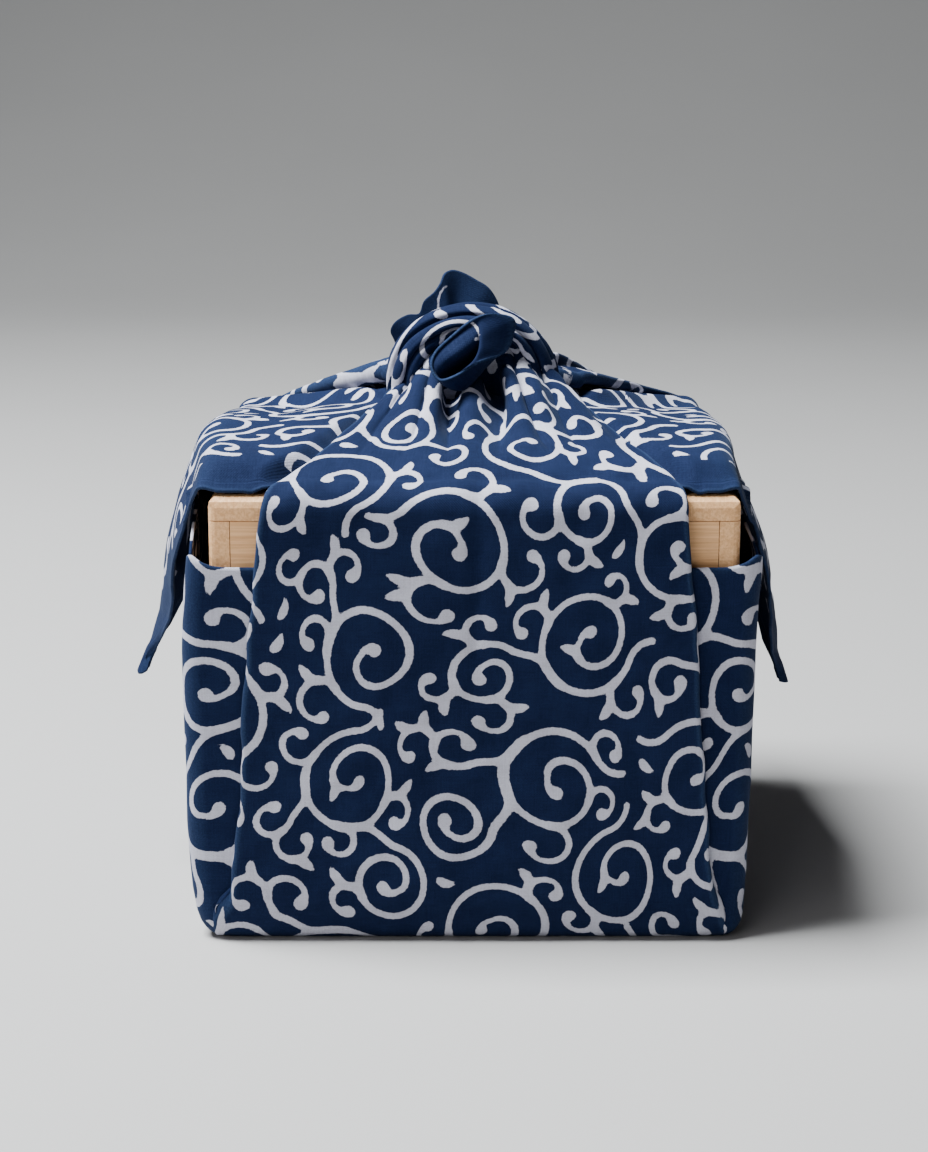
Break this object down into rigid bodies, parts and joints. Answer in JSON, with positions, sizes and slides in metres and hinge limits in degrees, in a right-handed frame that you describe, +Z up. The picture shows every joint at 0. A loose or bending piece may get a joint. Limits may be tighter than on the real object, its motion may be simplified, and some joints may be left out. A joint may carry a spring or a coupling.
{
  "type": "furoshiki wrap on a wooden box",
  "caption": "Square cotton wrapping cloth folded round a lidded wooden box and knotted on top, with pleats under the knot and two ends that hang down at the sides.",
  "frame": {"origin": "on the surface, under the middle of the wrapped box", "axes": "+Z up, +X to the right of the front, -Y to the front, where the curled end of the knot faces"},
  "size_m": [0.3149, 0.2426, 0.2787],
  "materials": {
    "indigo_cotton": "matte plain weave, off-white scrolling vines on indigo",
    "pale_wood": "bare planed paulownia"
  },
  "bodies": {
    "root": {"furoshiki": "indigo_cotton", "box_bottom": "pale_wood", "box_side_left": "pale_wood", "box_side_right": "pale_wood", "box_front": "pale_wood", "box_back": "pale_wood", "box_lid": "pale_wood"}
  },
  "joints": []
}
